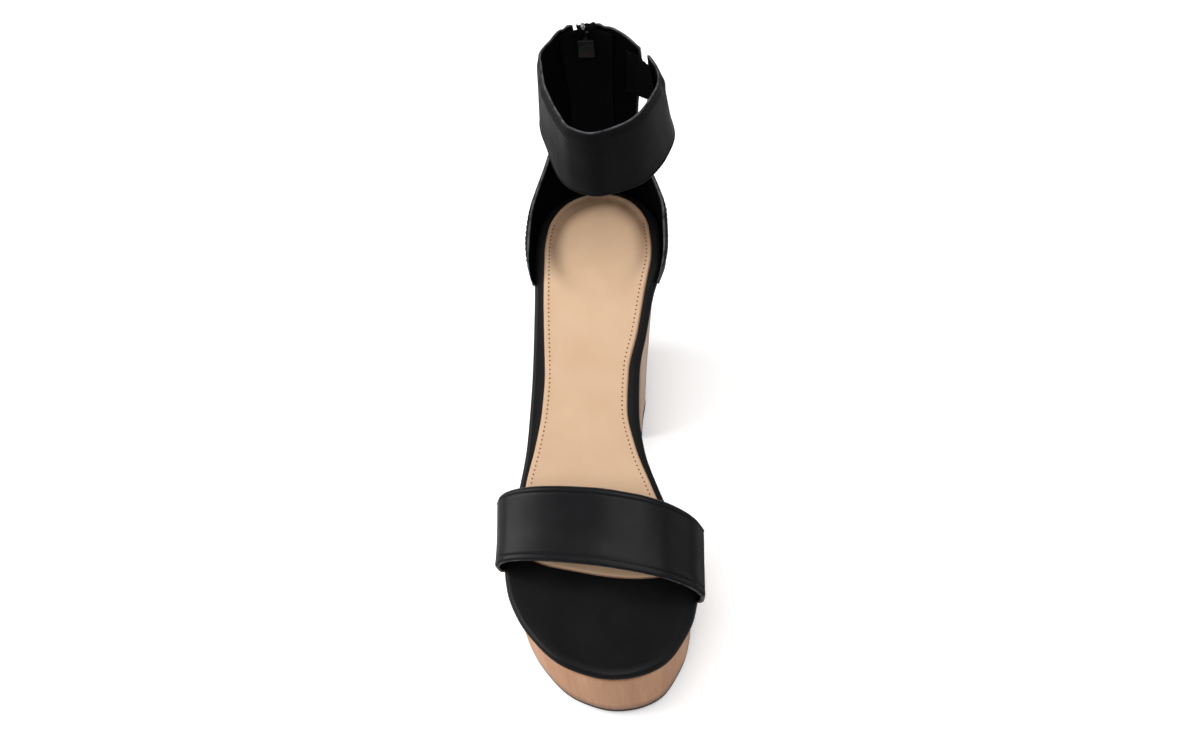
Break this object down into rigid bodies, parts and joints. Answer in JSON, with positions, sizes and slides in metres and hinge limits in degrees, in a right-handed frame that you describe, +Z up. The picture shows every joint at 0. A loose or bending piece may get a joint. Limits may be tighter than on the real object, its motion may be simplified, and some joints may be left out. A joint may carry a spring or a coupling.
{
  "type": "platform sandal",
  "caption": "Open-toe platform sandal with a tall block heel, a band over the toes, a closed heel cup and a zipped ankle cuff.",
  "frame": {"origin": "centre of the bounding box, on the floor", "axes": "+Z up, -Y to the toe, +Y to the heel, +X to the inner side of the foot"},
  "size_m": [0.0936, 0.2258, 0.2138],
  "materials": {
    "black_leather": "smooth matte",
    "tan_sock": "smooth matte",
    "wood_wrap": "satin printed grain",
    "sole_rubber": "matte",
    "black_textile": "matte woven",
    "zip_metal": "dark semi-gloss"
  },
  "bodies": {
    "shoe": {"footbed": "black_leather", "sock_pad": "tan_sock", "platform": "wood_wrap", "outsole": "sole_rubber", "block_heel": "wood_wrap", "heel_top_piece": "sole_rubber", "toe_band": "black_leather", "heel_quarter": "black_leather", "elastic_gore": "black_textile", "zip_tapes": "black_textile", "zip_chain": "zip_metal", "zip_slider": "zip_metal"},
    "zip_pull": {"zip_pull": "zip_metal"}
  },
  "joints": [
    {"name": "zip_pull_hinge", "type": "hinge", "parent": "shoe", "child": "zip_pull", "pos_m": [0.0003, 0.1107, 0.203], "axis": [1, 0, 0], "range_deg": [0, 170]}
  ]
}
